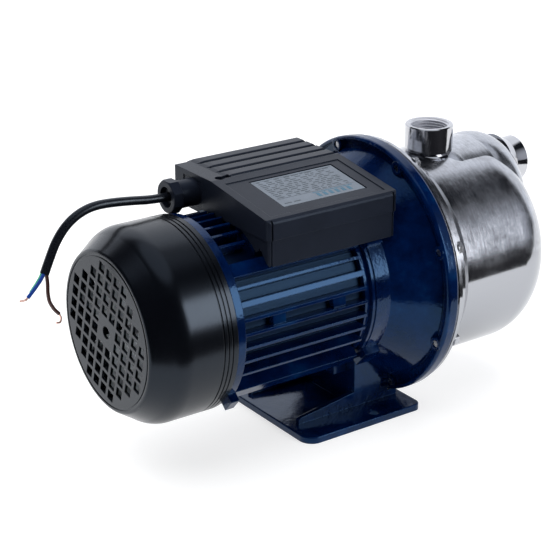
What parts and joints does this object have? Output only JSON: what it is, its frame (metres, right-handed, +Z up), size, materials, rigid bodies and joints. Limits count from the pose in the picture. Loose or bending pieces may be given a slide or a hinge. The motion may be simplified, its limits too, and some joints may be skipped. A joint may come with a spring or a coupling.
{
  "type": "shallow well jet pump",
  "caption": "Self-priming shallow well jet pump: finned electric motor with terminal box, bolted bracket and foot, and a round sheet-steel casing with top outlet and end inlet.",
  "frame": {"origin": "on the floor plane, under the foot, straight below the shaft at the motor-side face of the bracket's flange", "axes": "+X along the shaft from the motor to the suction port, +Y to the far side of the motor seen from the terminal box's name plate side, +Z up"},
  "size_m": [0.4649, 0.217, 0.2244],
  "materials": {
    "stainless": "polished",
    "blue_paint": "gloss",
    "cover_black": "satin",
    "box_black": "matte",
    "cord_black": "satin",
    "core_green_yellow": "gloss",
    "core_blue": "gloss",
    "core_brown": "gloss",
    "copper": "bright",
    "plate_silver": "satin",
    "steel": "satin",
    "lamination": "rough",
    "rotor_aluminium": "turned",
    "winding": "gloss",
    "fan_grey": "satin",
    "noryl": "satin",
    "impeller_brass": "cast",
    "seal_ceramic": "polished",
    "seal_carbon": "satin",
    "zinc": "bright",
    "capacitor_white": "gloss",
    "terminal_black": "satin"
  },
  "bodies": {
    "pump": {"pump_casing": "stainless", "suction_port": "stainless", "discharge_port": "stainless", "priming_plug": "stainless", "priming_plug_washer": "cord_black", "drain_plug": "stainless", "drain_plug_washer": "cord_black", "casing_bolts": "zinc", "casing_o_ring": "cord_black", "seal_plate": "stainless", "diffuser": "noryl", "venturi_tube": "noryl", "ejector_body": "noryl", "ejector_nozzle": "noryl", "seal_seat": "seal_ceramic", "bracket": "blue_paint", "front_bearing_outer": "steel", "rear_bearing_outer": "steel", "wave_washer": "steel", "stator_core": "lamination", "stator_windings": "winding", "motor_housing": "blue_paint", "rear_end_shield": "blue_paint", "tie_rods": "zinc", "fan_cover": "cover_black", "foot": "blue_paint", "foot_screws": "zinc", "terminal_box_base": "box_black", "terminal_box_cover": "box_black", "cover_screw": "zinc", "box_screws": "zinc", "terminal_block": "terminal_black", "capacitor": "capacitor_white", "name_plate": "plate_silver", "gland_body": "box_black", "gland_nut": "box_black", "gland_seal": "cord_black", "supply_cord": "cord_black", "core_green_yellow": "core_green_yellow", "core_blue": "core_blue", "core_brown": "core_brown", "core_strands": "copper"},
    "rotor": {"shaft": "steel", "rotor_core": "rotor_aluminium", "front_bearing_inner": "steel", "rear_bearing_inner": "steel", "fan": "fan_grey", "fan_clip": "steel", "impeller": "impeller_brass", "impeller_nut": "steel", "impeller_key": "steel", "seal_head": "seal_carbon", "seal_bellows": "steel"},
    "front_cage": {"front_bearing_balls": "steel", "front_bearing_cage": "steel"},
    "rear_cage": {"rear_bearing_balls": "steel", "rear_bearing_cage": "steel"}
  },
  "joints": [
    {"name": "rotor_spin", "type": "hinge", "parent": "pump", "child": "rotor", "pos_m": [0, 0, 0.1136], "axis": [1, 0, 0], "continuous": true},
    {"name": "front_cage_spin", "type": "hinge", "parent": "pump", "child": "front_cage", "pos_m": [-0.0355, 0, 0.1136], "axis": [1, 0, 0], "continuous": true},
    {"name": "rear_cage_spin", "type": "hinge", "parent": "pump", "child": "rear_cage", "pos_m": [-0.1685, 0, 0.1136], "axis": [1, 0, 0], "continuous": true}
  ],
  "couplings": [
    {"joint": "front_cage_spin", "follows": "rotor_spin", "ratio": 0.3818},
    {"joint": "rear_cage_spin", "follows": "rotor_spin", "ratio": 0.3812}
  ]
}
